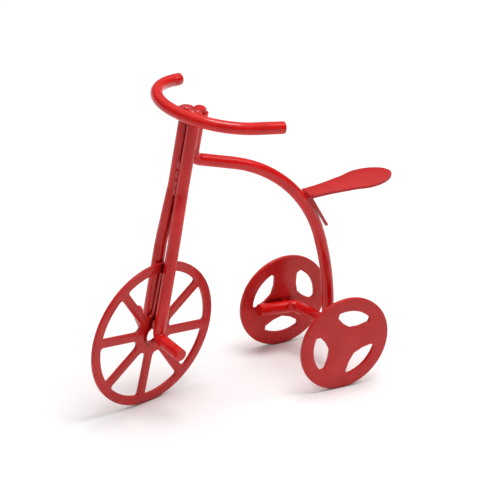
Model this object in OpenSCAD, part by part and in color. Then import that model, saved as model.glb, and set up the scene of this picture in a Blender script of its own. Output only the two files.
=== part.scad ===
// Miniature wire tricycle: bent-wire frame and fork, stamped sheet wheels and seat.
// +X is forward, +Y is the rider's left, +Z is up. The origin is on the floor,
// midway between the rear wheels. Millimetres.

/* [Wire and sheet] */
// Diameter of every frame wire
wire_d = 2.7; // [2.4:0.1:2.7]
// Thickness of the stamped wheel sheet
sheet_t = 0.8; // [0.6:0.1:0.9]
// Thickness of the seat sheet
seat_t = 0.6; // [0.5:0.1:1.0]

/* [Stance] */
// Distance from the rear axle to the front hub with the fork straight ahead
wheelbase = 41.1; // [39:0.1:43]
// Distance between the mid-planes of the rear wheels
track = 22.9; // [22:0.1:25]
// How far the right rear wheel sits ahead of the left one
stagger = 2.2; // [0:0.1:3]
// Lean of the steering axis behind the vertical, degrees
rake = 6.6; // [4:0.1:9]
// How far the fork is turned to the left at rest, degrees
steer = 13.6; // [0:0.1:20]

/* [Front wheel] */
// Outer diameter
front_wheel_d = 33.6; // [32:0.1:35]
// Diameter of the circle that the windows reach out to
front_rim_d = 29.4; // [28:0.1:30]
// Number of spokes
spoke_count = 8; // [6:1:10]
// Width of each spoke
spoke_w = 2; // [1.6:0.1:2.6]
// Turn of the first spoke ahead of the horizontal, degrees
spoke_phase = 2; // [0:0.5:20]
// Radius at the inner end of each window
window_inner_r = 1.26; // [0.8:0.02:1.6]
// Radius at the outer corners of each window
window_corner_r = 0.6; // [0.3:0.1:1]
// Bore of the hub eyelet
eyelet_bore_d = 4.1; // [3.4:0.1:4.2]
// Outer diameter of the hub eyelet
eyelet_d = 4.7; // [4.4:0.1:5]

/* [Rear wheels] */
// Outer diameter
rear_wheel_d = 22; // [21:0.1:23]
// Diameter of the circle that the windows reach out to
rear_rim_d = 15.8; // [15:0.1:16.4]
// Number of windows
rear_window_count = 3; // [3:1:4]
// Half angle that each window's outer arc spans, degrees
rear_window_half = 32; // [26:1:34]
// Turn of the left wheel's windows, degrees
left_phase = -12.5; // [-60:0.5:60]
// Turn of the right wheel's windows, degrees
right_phase = 31; // [-60:0.5:60]

/* [Fork and pedals] */
// Distance of the front hub ahead of the steering axis
hub_lead = 2.9; // [2.8:0.05:3.1]
// Distance of the fork wires ahead of the steering axis, at their tops
leg_lead = 2.5; // [2.5:0.05:2.8]
// Distance of the fork wires ahead of the steering axis, at the hub
foot_lead = 2.9; // [2.5:0.05:3.2]
// Distance of each fork wire from the wheel's mid-plane, beside the wheel
leg_y = 1.95; // [1.9:0.05:2.8]
// Height above the hub down to which the fork wires spread, along the steering axis
splay_h = 21; // [19:0.5:26]
// Height above the hub where the two fork wires part, along the steering axis
part_h = 34; // [30:0.5:36]
// Height of the fork tops above the hub, along the steering axis
fork_h = 51.7; // [51:0.1:53]
// Length of each pedal wire from the hub bend
pedal_l = 8.1; // [6:0.1:9]
// Forward sweep of the left pedal, degrees
left_pedal_sweep = 4; // [0:1:10]
// Rearward sweep of the right pedal, degrees
right_pedal_sweep = 27; // [0:1:30]
// Drop of the left pedal and rise of the right one, degrees
pedal_tilt = 4; // [0:1:8]

/* [Handlebar] */
// Radius of the curve, on the wire's centre
bar_r = 13.6; // [13:0.1:15]
// Angle that the right half bends through, degrees
right_bar_bend = 93; // [80:1:95]
// Angle that the left half bends through, degrees
left_bar_bend = 67; // [60:1:90]
// Straight length at the right end
right_bar_l = 1.7; // [1:0.1:4]
// Straight length at the left end
left_bar_l = 6.8; // [1:0.1:8]
// Height of the bar above the hub, along the steering axis
bar_h = 50.8; // [50:0.1:51.5]
// Turn of the bar on the fork, degrees
bar_turn = 8; // [0:0.1:9]

/* [Seat] */
// Length of the seat from its fold to its tip
seat_l = 21; // [19:0.1:22]
// Width of the seat at its widest
seat_w = 8.1; // [7.5:0.1:9]
// Width of the neck by the fold
neck_w = 4.2; // [4:0.1:5]
// Rise of the seat towards its tip, degrees
seat_pitch = 4.5; // [0:0.5:8]
// Turn of the seat to the right, degrees
seat_turn = 0.5; // [0:0.5:4]
// Width of the tab folded down behind the backbone, at the fold
tab_w = 2; // [1.6:0.1:4]
// Width of the tab at its free end
tab_tip_w = 0.8; // [0.5:0.1:2]
// Length of the tab from its weld up to the fold
tab_up = 3.3; // [3:0.1:5]
// Length of the tab from its weld down to its free end
tab_down = 6.8; // [5:0.1:8]
// Heading of the tab below the horizontal, degrees
tab_heading = 57; // [54:0.5:60]

/* [Backbone] */
// Slope of the top run below the horizontal, degrees
run_slope = 15; // [12:0.5:18]
// Length of the top run, from the head to the start of the arch's corner
run_l = 28.9; // [28:0.1:30]
// Height of the head bend
head_z = 56.4; // [55:0.1:58]
// Radius of the head bend
head_bend_r = 2.4; // [2:0.1:4]
// Radius of the arch
arch_r = 34; // [32:0.5:36]
// Radius of the slow bend above the axle
drop_r = 70; // [50:5:90]

/* [Rear axle] */
// Distance of each axle end from the wheel's inner face
axle_gap = 0.3; // [0.2:0.05:0.5]
// Length of the right axle end ahead of its hub
right_end_l = 7.3; // [3:0.1:8]
// Length of the left axle end ahead of its hub
left_end_l = 2.4; // [2:0.1:4]
// Distance of the right bend behind its hub
right_axle_back = 2; // [2:0.1:4]
// Distance of the left bend behind its hub
left_axle_back = 4.8; // [2.6:0.1:5]
// Height of the axle between its bends
axle_z = 10.2; // [10:0.1:10.6]
// Rise of the axle's two ends towards the front, degrees
end_rise = 4; // [2:0.5:6]
// Radius of the axle's two bends
axle_bend_r = 1.4; // [1.4:0.1:2]
// Diameter of the wheel pins
pin_d = 1; // [0.8:0.05:1.1]

/* [Hidden] */
$fn = 64;

red = [0.72, 0.06, 0.05];
dull_red = [0.62, 0.12, 0.11];
wire_r = wire_d / 2;
run_clear = 0.05; // radial clearance of a turning fit
end_gap = 0.1; // end clearance of a turning fit
weld_r = 0.75; // radius of a full weld bead
weld_sink = 0.05; // how deep two wires side by side melt into each other
sink = 0.7; // share of a wire's radius that one wire sinks into the next at a weld

hub_r = front_wheel_d / 2;
hub_tilt = asin(sin(rake) * sin(steer));
hub_z = hub_r * cos(hub_tilt);
axis_x = wheelbase - hub_lead * cos(rake);
axis_z = hub_z - hub_lead * sin(rake) * cos(steer);

rear_r = rear_wheel_d / 2;
end_y = track / 2 - sheet_t / 2 - axle_gap - wire_r;
pin_hole_r = pin_d / 2 + run_clear;

// Head: a short collar, closed round a neck in the post. Heights are above the hub,
// along the steering axis.
collar_r = 1.9;
collar_bottom = 48.6;
collar_top = 50.8;
neck_r = 1.1;
post_top = 51.6;
crown_h = 0.4;
crown_r = 0.95;

// Straight lines and round bends through a list of corners, as one wire.
// bend[i] is the bend radius at corner i; the first and last are not used.
// Each straight runs a little way into the bend, which is drawn a hair thinner.
bend_lap = 0.1;
bend_slim = 0.02;
function unit(v) = v / norm(v);
function turn(a, b) = acos(min(1, max(-1, unit(a) * unit(b))));
function cut(p, bend, i) =
    i == 0 || i == len(p) - 1 ? 0 : bend[i] * tan(turn(p[i] - p[i - 1], p[i + 1] - p[i]) / 2);

module along(from, dir) {
    z = unit(dir);
    helper = abs(z.z) < 0.9 ? [0, 0, 1] : [1, 0, 0];
    x = unit(cross(helper, z));
    y = cross(z, x);
    multmatrix([[x.x, y.x, z.x, from.x], [x.y, y.y, z.y, from.y], [x.z, y.z, z.z, from.z]]) children();
}

module bend_piece(corner, into, out, bend_r) {
    angle = turn(into, out);
    u = unit(into);
    w = unit(unit(out) - u * (unit(out) * u));
    centre = corner - u * bend_r * tan(angle / 2) + w * bend_r;
    x = -w;
    z = cross(x, u);
    multmatrix([[x.x, u.x, z.x, centre.x], [x.y, u.y, z.y, centre.y], [x.z, u.z, z.z, centre.z]])
        rotate_extrude(angle = angle, $fn = 128) translate([bend_r, 0])
            circle(r = wire_r - bend_slim, $fn = 32);
}

module wire(p, bend) {
    for (i = [0 : len(p) - 2]) {
        step = p[i + 1] - p[i];
        start = cut(p, bend, i) - (i == 0 ? 0 : bend_lap);
        stop = norm(step) - cut(p, bend, i + 1) + (i == len(p) - 2 ? 0 : bend_lap);
        if (stop - start > 3 * bend_lap)
            along(p[i] + unit(step) * start, step) cylinder(r = wire_r, h = stop - start);
    }
    for (i = [1 : len(p) - 2]) bend_piece(p[i], p[i] - p[i - 1], p[i + 1] - p[i], bend[i]);
}

// The turned fork's own frame: origin on the steering axis level with the hub,
// z along the axis, x ahead, y along the front axle.
module on_fork() {
    translate([axis_x, 0, axis_z]) rotate([0, -rake, 0]) rotate([0, 0, steer]) children();
}

module on_post() {
    translate([axis_x, 0, axis_z]) rotate([0, -rake, 0]) children();
}

// Backbone, in the plane y = 0
post_foot = [axis_x, axis_z];
head_corner = post_foot + [-tan(rake), 1] * (head_z - axis_z);
knee_heading = 72;
foot_heading = 86;
knee_straight = 1;
function heading(a) = [-cos(a), -sin(a)];
shoulder = head_corner + heading(run_slope) * run_l;
knee = shoulder + heading(knee_heading) * (arch_r * tan((knee_heading - run_slope) / 2)
    + drop_r * tan((foot_heading - knee_heading) / 2) + knee_straight);
foot_z = axle_z + wire_r * sink;
foot = knee + heading(foot_heading) * ((knee.y - foot_z) / sin(foot_heading));
arch_centre = shoulder + heading(run_slope) * -arch_r * tan((knee_heading - run_slope) / 2)
    + [sin(run_slope), -cos(run_slope)] * arch_r;
function in_plane(p) = [p.x, 0, p.y];
neck_h = collar_top - collar_bottom + 2 * end_gap;

module backbone() {
    color(red) union() {
        post_end = post_foot + [-sin(rake), cos(rake)] * post_top;
        difference() {
            wire([for (p = [post_end, head_corner, shoulder, knee, foot]) in_plane(p)],
                [0, head_bend_r, arch_r, drop_r, 0]);
            on_post() translate([0, 0, collar_bottom - end_gap]) difference() {
                cylinder(r = collar_r, h = neck_h);
                cylinder(r = neck_r, h = neck_h);
            }
        }
        on_post() translate([0, 0, post_top - bend_lap])
            cylinder(r1 = wire_r - bend_slim, r2 = crown_r, h = crown_h);
    }
}

// Seat: a folded tab against the back of the arch, and a spoon-shaped plate
tab_out = [-sin(tab_heading), cos(tab_heading)];
tab_lift = 0.02; // the tab stands this far off the wire between its two beads
tab_root = arch_centre + tab_out * (arch_r + wire_r + tab_lift);
fold = tab_root - heading(tab_heading) * tab_up + tab_out * seat_t / 2;
fold_r = 0.55;
fold_w = 3.6;

function seat_half(s) = let (t = s / seat_l)
    t < 0.42 ? neck_w / 2 + (seat_w * 0.37 - neck_w / 2) * pow(t / 0.42, 2)
    : t < 0.68 ? seat_w * (0.435 - 0.065 * cos(180 * (t - 0.42) / 0.26))
    : seat_w / 2 * sqrt(max(0, 1 - pow((t - 0.68) / 0.32, 1.95)));
seat_steps = 28;
seat_side = [for (i = [0 : seat_steps]) let (s = seat_l * (1 - pow(1 - i / seat_steps, 1.6)))
    [s, seat_half(s)]];
seat_outline = concat(seat_side, [for (i = [seat_steps - 1 : -1 : 0]) [seat_side[i].x, -seat_side[i].y]]);

module seat() {
    color(red) union() {
        // plate
        translate([fold.x, 0, fold.y]) rotate([0, 0, 180 + seat_turn]) rotate([0, -seat_pitch, 0])
            translate([0, 0, -seat_t / 2]) linear_extrude(seat_t) polygon(seat_outline);
        // rounded fold
        translate([fold.x, 0, fold.y]) rotate([90, 0, 0])
            cylinder(r = fold_r, h = fold_w, center = true);
        // tab
        translate([fold.x, 0, fold.y]) rotate([0, 90 - tab_heading, 0])
            rotate([90, 0, 90]) linear_extrude(seat_t, center = true)
                polygon([[-tab_w / 2, 0], [tab_w / 2, 0], [tab_tip_w / 2, -tab_up - tab_down],
                    [-tab_tip_w / 2, -tab_up - tab_down]]);
    }
}

seat_weld_r = 0.6;
seat_weld_y = 0.6;

module seat_weld() {
    color(red) for (side = [-1, 1])
        translate([tab_root.x, side * seat_weld_y, tab_root.y]) sphere(r = seat_weld_r, $fn = 32);
}

// Rear axle: one wire whose ends rise towards the front, just under the hubs' centres
right_hub = [stagger / 2, -track / 2, rear_r];
left_hub = [-stagger / 2, track / 2, rear_r];
right_bend = [right_hub.x - right_axle_back, -end_y, axle_z];
left_bend = [left_hub.x - left_axle_back, end_y, axle_z];
right_line = [right_hub.x, -end_y, rear_r];
left_line = [left_hub.x, end_y, rear_r];
function end_of(bend, l) = bend + l * [cos(end_rise), 0, sin(end_rise)];

module rear_axle() {
    color(red) difference() {
        wire([end_of(right_bend, right_axle_back + right_end_l), right_bend, left_bend,
            end_of(left_bend, left_axle_back + left_end_l)], [0, axle_bend_r, axle_bend_r, 0]);
        for (p = [right_line, left_line])
            translate(p) rotate([90, 0, 0]) cylinder(r = pin_hole_r, h = wire_d * 1.5, center = true);
    }
}

module axle_weld() {
    color(red) for (side = [-1, 1])
        translate([foot.x, side * wire_r * sink, axle_z + wire_r]) sphere(r = weld_r, $fn = 32);
}

// Handlebar, in the fork's frame
bar_x = leg_lead + wire_d - weld_sink;
right_cut = bar_r * tan(right_bar_bend / 2);
left_cut = bar_r * tan(left_bar_bend / 2);
bar_mid_l = 1; // straight between the two bends, where the fork wires cross
right_corner = [0, -right_cut - bar_mid_l / 2, 0];
left_corner = [0, left_cut + bar_mid_l / 2, 0];

module handlebar() {
    color(red) on_fork() translate([bar_x, 0, bar_h]) rotate([0, 0, bar_turn])
        wire([right_corner + (right_cut + right_bar_l) * [-sin(right_bar_bend), -cos(right_bar_bend), 0],
            right_corner, left_corner,
            left_corner + (left_cut + left_bar_l) * [-sin(left_bar_bend), cos(left_bar_bend), 0]],
            [0, bar_r, bar_r, 0]);
}

top_y = wire_r - weld_sink / 2; // the wires lie side by side above the tack
splay_r = 40;
pedal_bend_r = 1.6;

module fork_wire(side, sweep) {
    part = [leg_lead, side * top_y, part_h];
    low = [foot_lead, side * leg_y, splay_h];
    hub = [foot_lead, side * leg_y, 0];
    tip = hub + pedal_l * [side * sin(sweep), side * cos(sweep), -side * sin(pedal_tilt)];
    on_fork() wire([[part.x, part.y, fork_h], part, low, hub, tip], [0, splay_r, splay_r, pedal_bend_r, 0]);
}

module left_fork_wire() {
    color(red) fork_wire(1, left_pedal_sweep);
}

module right_fork_wire() {
    color(red) fork_wire(-1, right_pedal_sweep);
}

module head_collar() {
    color(red) on_fork() difference() {
        translate([0, 0, collar_bottom]) cylinder(r = collar_r, h = collar_top - collar_bottom);
        cylinder(r = neck_r + run_clear, h = 2 * fork_h);
    }
}

// Beads over the bar, and smaller ones between the collar and each fork wire
bar_bead_up = 0.7;
collar_bead = [1, 1.75, collar_top - 0.9];
collar_bead_r = 0.45;

module head_weld() {
    color(red) on_fork() for (side = [-1, 1]) {
        translate([leg_lead + wire_r, side * top_y, bar_h + bar_bead_up]) sphere(r = weld_r, $fn = 32);
        translate([collar_bead.x, side * collar_bead.y, collar_bead.z]) sphere(r = collar_bead_r, $fn = 32);
    }
}

// Bead that ties the two fork wires together above the wheel
tack_ahead = 0.9;
tack_r = 0.6;

module fork_tack() {
    color(red) on_fork() translate([leg_lead + tack_ahead, 0, part_h]) sphere(r = tack_r, $fn = 32);
}

// Front hub: an eyelet between the fork wires
eyelet_sink = 0.15;
eyelet_half = leg_y - wire_r + eyelet_sink;

module hub_eyelet() {
    color(red) on_fork() translate([hub_lead, 0, 0]) rotate([90, 0, 0]) difference() {
        cylinder(r = eyelet_d / 2, h = 2 * eyelet_half, center = true);
        cylinder(r = eyelet_bore_d / 2, h = 4 * eyelet_half, center = true);
    }
}

// Beads from the eyelet's rim to the fork wires
hub_bead = [0.8, 1.05, 1.9];
hub_bead_r = 0.5;

module hub_welds() {
    color(red) on_fork() for (side = [-1, 1], fore = [-1, 1])
        translate([hub_lead + fore * hub_bead.x, side * hub_bead.y, hub_bead.z])
            sphere(r = hub_bead_r, $fn = 32);
}

// Points along an arc
function arc(c, r, a0, a1, n) =
    [for (i = [0 : n]) let (a = a0 + (a1 - a0) * i / n) c + r * [cos(a), sin(a)]];

// Front wheel
half_step = 180 / spoke_count;
corner_turn = asin((spoke_w / 2 + window_corner_r) / (front_rim_d / 2 - window_corner_r));
corner_at = half_step - corner_turn;
corner_c = (front_rim_d / 2 - window_corner_r) * [cos(corner_at), sin(corner_at)];
inner_c = [(spoke_w / 2 + window_inner_r) / sin(half_step), 0];
front_window = concat(
    arc([0, 0], front_rim_d / 2, -corner_at, corner_at, 12),
    arc(corner_c, window_corner_r, corner_at, 90 + half_step, 6),
    arc(inner_c, window_inner_r, 90 + half_step, 270 - half_step, 10),
    arc([corner_c.x, -corner_c.y], window_corner_r, -90 - half_step, -corner_at, 6));

module front_wheel() {
    color(dull_red) on_fork() translate([hub_lead, 0, 0]) rotate([90, 0, 0])
        linear_extrude(sheet_t, center = true) difference() {
            circle(r = hub_r, $fn = 180);
            circle(r = eyelet_d / 2 + run_clear);
            for (i = [0 : spoke_count - 1])
                rotate(spoke_phase + half_step * (2 * i + 1)) polygon(front_window);
        }
}

// Rear wheels
rear_window = let (r = rear_rim_d / 2)
    concat(arc([0, 0], r, -rear_window_half, rear_window_half, 12),
        [[r * 0.72, r * 0.52], [r * 0.57, r * 0.27], [r * 0.49, 0],
        [r * 0.57, -r * 0.27], [r * 0.72, -r * 0.52]]);

module rear_wheel(hub, phase) {
    color(dull_red) translate(hub) rotate([90, 0, 0]) linear_extrude(sheet_t, center = true) difference() {
        circle(r = rear_r, $fn = 180);
        for (i = [0 : rear_window_count - 1])
            rotate(phase + 360 / rear_window_count * i) polygon(rear_window);
    }
}

module left_rear_wheel() {
    rear_wheel(left_hub, left_phase);
}

module right_rear_wheel() {
    rear_wheel(right_hub, right_phase);
}

// Wheel pin: shoulder against the wheel, shank through the axle end, head inside
pin_head_r = 0.78;
pin_head_h = 0.25;

module rear_pin(hub, side) {
    face = track / 2 - sheet_t / 2;
    head_y = end_y - wire_r - end_gap;
    color(red) translate([hub.x, 0, hub.z]) rotate([-90 * side, 0, 0]) {
        translate([0, 0, head_y - pin_head_h]) cylinder(r = pin_head_r, h = pin_head_h);
        translate([0, 0, head_y - pin_head_h / 2])
            cylinder(r = pin_d / 2, h = face - head_y + pin_head_h / 2);
        translate([0, 0, end_y + wire_r + end_gap]) cylinder(r = pin_head_r, h = axle_gap - end_gap);
    }
}

module left_rear_pin() {
    rear_pin(left_hub, 1);
}

module right_rear_pin() {
    rear_pin(right_hub, -1);
}

backbone();
seat();
seat_weld();
rear_axle();
axle_weld();
handlebar();
left_fork_wire();
right_fork_wire();
head_collar();
head_weld();
fork_tack();
hub_eyelet();
hub_welds();
front_wheel();
left_rear_wheel();
right_rear_wheel();
left_rear_pin();
right_rear_pin();
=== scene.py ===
"""Looks of the miniature wire tricycle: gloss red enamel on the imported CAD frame, with the
paint fillets at its welds, on a white floor under a large soft light. Metres, unless a
name or comment says millimetres."""

import math

import bmesh
import bpy
from mathutils import Matrix, Vector


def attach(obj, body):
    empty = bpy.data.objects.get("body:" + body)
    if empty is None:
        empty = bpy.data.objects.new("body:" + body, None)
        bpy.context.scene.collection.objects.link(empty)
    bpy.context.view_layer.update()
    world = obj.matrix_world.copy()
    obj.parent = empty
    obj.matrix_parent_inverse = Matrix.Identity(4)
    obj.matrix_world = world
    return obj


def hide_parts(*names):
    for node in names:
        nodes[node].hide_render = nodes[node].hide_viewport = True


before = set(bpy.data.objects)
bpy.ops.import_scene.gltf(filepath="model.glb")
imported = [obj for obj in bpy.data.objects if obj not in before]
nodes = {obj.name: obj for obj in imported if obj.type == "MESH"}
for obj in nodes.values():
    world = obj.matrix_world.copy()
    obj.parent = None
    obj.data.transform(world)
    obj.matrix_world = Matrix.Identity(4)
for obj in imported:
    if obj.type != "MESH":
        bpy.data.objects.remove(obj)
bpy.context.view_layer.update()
scene = bpy.context.scene
MM = 0.001


# ---------------------------------------------------------------- materials
WHITE, BLACK = (1, 1, 1), (0, 0, 0)
ENAMEL_IOR = 1.5
ENAMEL_SPECULAR = 0.28
COAT_ROUGHNESS = 0.04
SHADE_REACH = 1.6 * MM  # how far from a corner the painted shade reaches
AO_SAMPLES = 8
SAG_HEIGHT = 0.12 * MM
PEEL_HEIGHT = 0.02 * MM
SAG_SCALE = 0.22  # share of the orange peel's noise scale
GLOSS_SCALE = 3  # multiple of the pigment's noise scale


def enamel(name, color, shade_color, rough, bump, peel, mottle, coat):
    """Enamel paint: cloudy pigment, painted shade that darkens the corners, uneven gloss, sags
    and orange peel.
    peel and mottle are the noise scales of the skin and of the pigment."""
    mat = bpy.data.materials.new(name)
    mat.use_nodes = True
    tree = mat.node_tree
    tree.nodes.clear()
    new, link = tree.nodes.new, tree.links.new
    out = new("ShaderNodeOutputMaterial")
    shader = new("ShaderNodeBsdfPrincipled")
    link(shader.outputs["BSDF"], out.inputs["Surface"])
    shader.inputs["IOR"].default_value = ENAMEL_IOR
    shader.inputs["Specular IOR Level"].default_value = ENAMEL_SPECULAR
    shader.inputs["Coat Weight"].default_value = coat
    shader.inputs["Coat Roughness"].default_value = COAT_ROUGHNESS
    where = new("ShaderNodeTexCoord")

    def noise(scale, detail, roughness=0.5):
        n = new("ShaderNodeTexNoise")
        n.inputs["Scale"].default_value = scale
        n.inputs["Detail"].default_value = detail
        n.inputs["Roughness"].default_value = roughness
        link(where.outputs["Object"], n.inputs["Vector"])
        return n.outputs["Fac"]

    def ramp(source, stops):
        r = new("ShaderNodeValToRGB")
        while len(r.color_ramp.elements) < len(stops):
            r.color_ramp.elements.new(0.5)
        for element, (at, rgb) in zip(r.color_ramp.elements, stops):
            element.position = at
            element.color = (*rgb, 1)
        link(source, r.inputs["Fac"])
        return r.outputs["Color"]

    def bumps(height, distance):
        b = new("ShaderNodeBump")
        b.inputs["Strength"].default_value = bump
        b.inputs["Distance"].default_value = distance
        link(height, b.inputs["Height"])
        return b

    # slow drift of the pigment over the part
    tint = ramp(noise(mottle, 3), [(0.3, [c * 0.84 for c in color]), (0.55, color),
                                   (0.75, [min(1, c * 1.1 + 0.012) for c in color])])
    # painted shade: a darker colour mixed in where ambient occlusion finds a corner or crease
    ao = new("ShaderNodeAmbientOcclusion")
    ao.inputs["Distance"].default_value = SHADE_REACH
    ao.samples = AO_SAMPLES
    painted_shade = ramp(ao.outputs["AO"], [(0.25, WHITE), (0.8, BLACK)])
    mix = new("ShaderNodeMix")
    mix.data_type = "RGBA"
    link(painted_shade, mix.inputs["Factor"])
    link(tint, mix.inputs["A"])
    mix.inputs["B"].default_value = (*shade_color, 1)
    link(mix.outputs["Result"], shader.inputs["Base Color"])
    # uneven gloss
    span = new("ShaderNodeMapRange")
    span.inputs["From Min"].default_value = 0.3
    span.inputs["From Max"].default_value = 0.7
    span.inputs["To Min"].default_value = rough * 0.75
    span.inputs["To Max"].default_value = rough * 1.3
    link(noise(mottle * GLOSS_SCALE, 4), span.inputs["Value"])
    link(span.outputs["Result"], shader.inputs["Roughness"])
    # orange peel over a few sags
    skin = bumps(noise(peel, 2, 0.6), PEEL_HEIGHT)
    sag = bumps(noise(peel * SAG_SCALE, 2), SAG_HEIGHT)
    link(sag.outputs["Normal"], skin.inputs["Normal"])
    link(skin.outputs["Normal"], shader.inputs["Normal"])
    link(skin.outputs["Normal"], shader.inputs["Coat Normal"])
    return mat


# the third colour of each enamel is the painted shade mixed into its corners and creases
wire_paint = enamel("wire_enamel", (0.68, 0.006, 0.005), (0.24, 0.002, 0.002),
                    rough=0.16, bump=0.5, peel=1400, mottle=160, coat=0.2)
wheel_paint = enamel("wheel_enamel", (0.56, 0.013, 0.011), (0.18, 0.003, 0.003),
                     rough=0.24, bump=0.4, peel=1300, mottle=120, coat=0.08)
seat_paint = enamel("seat_enamel", (0.54, 0.009, 0.008), (0.24, 0.003, 0.002),
                    rough=0.20, bump=0.45, peel=1300, mottle=120, coat=0.08)
weld_paint = enamel("weld_enamel", (0.52, 0.006, 0.005), (0.16, 0.002, 0.002),
                    rough=0.15, bump=0.6, peel=1500, mottle=220, coat=0.5)
PAINT = {
    "front_wheel": wheel_paint, "left_rear_wheel": wheel_paint, "right_rear_wheel": wheel_paint,
    "seat": seat_paint, "seat_weld": weld_paint, "axle_weld": weld_paint,
    "head_weld": weld_paint, "fork_tack": weld_paint, "hub_welds": weld_paint,
}
for name, node in nodes.items():
    node.data.materials.clear()
    node.data.materials.append(PAINT.get(name, wire_paint))


# ---------------------------------------------------------------- soft edges on the CAD nodes
def soften(name, width, segments, angle):
    """Round over the edges of a CAD node that are sharper than an angle, in degrees."""
    node = nodes[name]
    weld = node.modifiers.new("weld", "WELD")
    weld.merge_threshold = 0.0005 * MM
    bevel = node.modifiers.new("bevel", "BEVEL")
    bevel.width = width * MM
    bevel.segments = segments
    bevel.limit_method = "ANGLE"
    bevel.angle_limit = math.radians(angle)
    for poly in node.data.polygons:
        poly.use_smooth = True


# ---------------------------------------------------------------- paint and weld fillets
# The turned fork's own frame, in millimetres: origin on the steering axis level with the hub,
# z along the axis, x ahead, y to the left.
RAKE, STEER = math.radians(6.6), math.radians(13.6)
HUB_LEAD = 2.9
AXIS_UP = Vector((-math.sin(RAKE), 0, math.cos(RAKE)))
AHEAD = Vector((math.cos(RAKE) * math.cos(STEER), math.sin(STEER),
                math.sin(RAKE) * math.cos(STEER)))
LEFT = AXIS_UP.cross(AHEAD)
wheel = nodes["front_wheel"]
wheel_corners = [wheel.matrix_world @ Vector(corner) for corner in wheel.bound_box]
hub = sum(wheel_corners, Vector()) / len(wheel_corners)
fork_origin = hub - AHEAD * HUB_LEAD * MM


def on_fork(x, y, z):
    return fork_origin + (AHEAD * x + LEFT * y + AXIS_UP * z) * MM


ARCH_CENTRE = Vector((32.32, 0, 20.86))
ARCH_R = 34


def on_arch(angle, out, y):
    """A point beside the arch: degrees round it from the top towards the rear, mm out from
    its centre line and mm to the left."""
    a = math.radians(angle)
    outward = Vector((-math.sin(a), 0, math.cos(a)))
    return (ARCH_CENTRE + outward * (ARCH_R + out) + Vector((0, y, 0))) * MM


RIPPLE_SIZE = 0.7 * MM


def blob(name, lumps, voxel, body, material, replaced, smooth, rough):
    """Overlapping lumps, each a centre, three radii in mm and the axis of the third radius or
    None for upright, fused into one soft weld bead. voxel and rough are in mm."""
    bm = bmesh.new()
    for centre, radii, axis in lumps:
        spin = axis.to_track_quat("Z", "Y").to_matrix().to_4x4() if axis else Matrix.Identity(4)
        size = Matrix.Diagonal((*[r * MM for r in radii], 1))
        bmesh.ops.create_icosphere(bm, subdivisions=3, radius=1,
                                   matrix=Matrix.Translation(centre) @ spin @ size)
    mesh = bpy.data.meshes.new(name)
    bm.to_mesh(mesh)
    bm.free()
    piece = bpy.data.objects.new(name, mesh)
    scene.collection.objects.link(piece)
    fuse = piece.modifiers.new("fuse", "REMESH")
    fuse.mode = "VOXEL"
    fuse.voxel_size = voxel * MM
    relax = piece.modifiers.new("relax", "SMOOTH")
    relax.factor, relax.iterations = 0.5, smooth
    ripple = bpy.data.textures.new(name, "CLOUDS")
    ripple.noise_scale = RIPPLE_SIZE
    push = piece.modifiers.new("ripple", "DISPLACE")
    push.texture = ripple
    push.strength = rough * MM
    push.mid_level = 0.5
    graph = bpy.context.evaluated_depsgraph_get()
    made = bpy.data.meshes.new_from_object(piece.evaluated_get(graph))
    piece.modifiers.clear()
    piece.data = made
    for poly in made.polygons:
        poly.use_smooth = True
    made.materials.clear()
    made.materials.append(material)
    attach(piece, body)
    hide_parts(replaced)


# head: flattened, lumpy weld that climbs from the collar and the fork tops over the bar
blob("head_weld_skin", [
    (on_fork(2.1, 1.3, 51.2), (1.2, 1.0, 0.75), None),
    (on_fork(2.2, -1.3, 51.3), (1.2, 1.0, 0.75), None),
    (on_fork(3.4, 1.1, 51.5), (1.0, 0.9, 0.6), None),
    (on_fork(3.4, -1.1, 51.6), (1.0, 1.0, 0.6), None),
    (on_fork(1.2, 1.7, 50.2), (0.6, 0.6, 0.8), None),
    (on_fork(1.2, -1.7, 50.2), (0.6, 0.6, 0.8), None),
    (on_fork(2.9, 0.0, 51.6), (0.8, 0.9, 0.45), None),
    (on_fork(2.4, 2.3, 51.2), (0.6, 0.7, 0.4), None),
    (on_fork(3.7, -2.2, 51.2), (0.7, 0.8, 0.5), None),
    (on_fork(3.7, 2.1, 51.1), (0.7, 0.8, 0.5), None),
], 0.09, "fork", weld_paint, "head_weld", smooth=5, rough=0.30)

# fork: the bead and the paint web where the two wires part
blob("fork_tack_skin", [
    (on_fork(3.3, 0, z), (0.55, 0.5, 1.4), AXIS_UP) for z in (33.6, 35.4, 37.4, 39.6)
], 0.09, "fork", weld_paint, "fork_tack", smooth=8, rough=0.12)

# seat: the paint that fills the crease between the tab and the arch, up to the fold
blob("seat_weld_skin", [
    lump for angle in (52.0, 52.8, 53.6, 54.4, 55.2, 56.0, 56.8, 57.6) for lump in (
        (on_arch(angle, 1.25, 0.55), (0.65, 0.5, 0.6), None),
        (on_arch(angle, 1.25, -0.55), (0.65, 0.5, 0.6), None))
], 0.08, "frame", seat_paint, "seat_weld", smooth=8, rough=0.08)

# axle: fillets where the foot of the backbone stands on the axle; FOOT is in millimetres
FOOT = Vector((-3.35, 0, 11.3))
blob("axle_weld_skin", [
    ((FOOT + Vector((dx, dy, dz))) * MM, radii, None) for dx, dy, dz, radii in (
        (-0.2, 0.95, 0.1, (0.85, 0.7, 0.6)), (0.2, -0.95, 0.1, (0.85, 0.7, 0.6)),
        (-1.0, 0.3, 0.1, (0.5, 0.8, 0.5)), (1.0, -0.3, 0.1, (0.5, 0.8, 0.5)),
        (0.4, 1.0, 0.5, (0.5, 0.5, 0.7)), (-0.4, -1.0, 0.5, (0.5, 0.5, 0.7)))
], 0.08, "frame", weld_paint, "axle_weld", smooth=5, rough=0.2)

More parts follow.
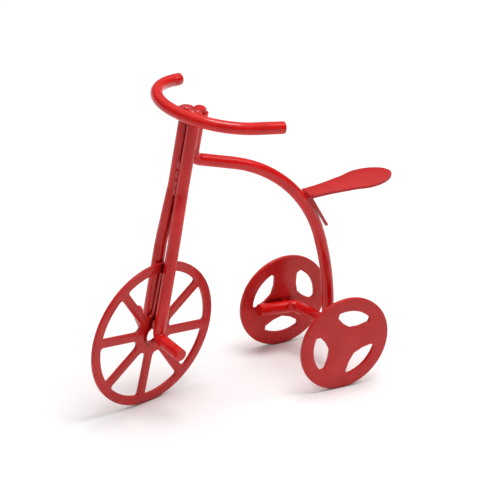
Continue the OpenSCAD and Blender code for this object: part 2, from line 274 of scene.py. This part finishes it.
# hub: beads from the eyelet up onto the inner faces of both wires
blob("hub_welds_skin", [
    lump for sign in (-1, 1) for lump in (
        (on_fork(3.9, sign * 1.1, 2.2), (0.6, 0.42, 0.5), None),
        (on_fork(4.15, sign * 1.2, 3.0), (0.45, 0.45, 0.9), AXIS_UP),
        (on_fork(1.9, sign * 1.1, 2.25), (0.55, 0.4, 0.5), None),
        (on_fork(1.7, sign * 1.25, 3.0), (0.4, 0.45, 0.8), AXIS_UP))
], 0.08, "fork", weld_paint, "hub_welds", smooth=5, rough=0.22)


# ---------------------------------------------------------------- floor, light, camera
paper = bpy.data.materials.new("floor_paper")
paper.use_nodes = True
paper_shader = paper.node_tree.nodes["Principled BSDF"]
paper_shader.inputs["Base Color"].default_value = (0.93, 0.925, 0.925, 1)
paper_shader.inputs["Roughness"].default_value = 0.7
paper_shader.inputs["Specular IOR Level"].default_value = 0.2

bpy.ops.mesh.primitive_plane_add(size=6, location=(0, 0, 0))
floor = bpy.context.object
floor.name = "floor"
floor.data.materials.append(paper)

# a white ceiling that tips a little away from the near side, over darker walls
CEILING = (-0.08, -0.13, 0.988)
WALL_ENDS, CEILING_STARTS = 0.45, 0.88
world = bpy.data.worlds.new("studio")
scene.world = world
world.use_nodes = True
sky = world.node_tree
facing = sky.nodes.new("ShaderNodeTexCoord")
toward = sky.nodes.new("ShaderNodeVectorMath")
toward.operation = "DOT_PRODUCT"
toward.inputs[1].default_value = CEILING
sky.links.new(facing.outputs["Generated"], toward.inputs[0])
fade = sky.nodes.new("ShaderNodeValToRGB")
wall, ceiling = fade.color_ramp.elements
wall.position, wall.color = WALL_ENDS, (0.16, 0.16, 0.165, 1)
ceiling.position, ceiling.color = CEILING_STARTS, (*WHITE, 1)
sky.links.new(toward.outputs["Value"], fade.inputs["Fac"])
sky.links.new(fade.outputs["Color"], sky.nodes["Background"].inputs["Color"])
sky.nodes["Background"].inputs["Strength"].default_value = 1.0


def softbox(name, at, target, size, power):
    data = bpy.data.lights.new(name, "AREA")
    data.shape = "RECTANGLE"
    data.size, data.size_y = size
    data.energy = power
    light = bpy.data.objects.new(name, data)
    scene.collection.objects.link(light)
    light.location = at
    light.rotation_euler = (Vector(target) - Vector(at)).to_track_quat("-Z", "Y").to_euler()


middle = (0.02, 0, 0.03)
softbox("key", (-0.06, 0.03, 0.75), middle, (0.34, 0.34), 3.4)
softbox("rim", (-0.45, 0.10, 0.50), middle, (0.10, 0.30), 0.35)

# The camera looks at the front wheel's left side from ahead and above.
azimuth, elevation, roll = (math.radians(a) for a in (148.747, 26.212, 4.101))
LENS_ANGLE = math.radians(10)
aim = Vector((20.394, 0, 34.908)) * MM
distance = 587.80 * MM
back = Vector((math.sin(azimuth) * math.cos(elevation), -math.cos(azimuth) * math.cos(elevation),
               math.sin(elevation)))
side = Vector((math.cos(azimuth), math.sin(azimuth), 0))
rise = back.cross(side)
right = side * math.cos(roll) + rise * math.sin(roll)
up = rise * math.cos(roll) - side * math.sin(roll)
lens = bpy.data.cameras.new("camera")
lens.angle = LENS_ANGLE
lens.clip_start, lens.clip_end = 0.05, 20
camera = bpy.data.objects.new("camera", lens)
scene.collection.objects.link(camera)
turned = Matrix((right, up, back)).transposed().to_4x4()
camera.matrix_world = Matrix.Translation(aim + back * distance) @ turned
scene.camera = camera

scene.view_settings.view_transform = "Standard"
scene.view_settings.exposure = 0

# stamped sheet edges, then a painted lip on the cut ends of the wires
for name in ("front_wheel", "left_rear_wheel", "right_rear_wheel", "seat"):
    soften(name, width=0.16, segments=3, angle=35)
for name in ("handlebar", "rear_axle", "left_fork_wire", "right_fork_wire"):
    soften(name, width=0.18, segments=4, angle=60)

bpy.context.view_layer.update()
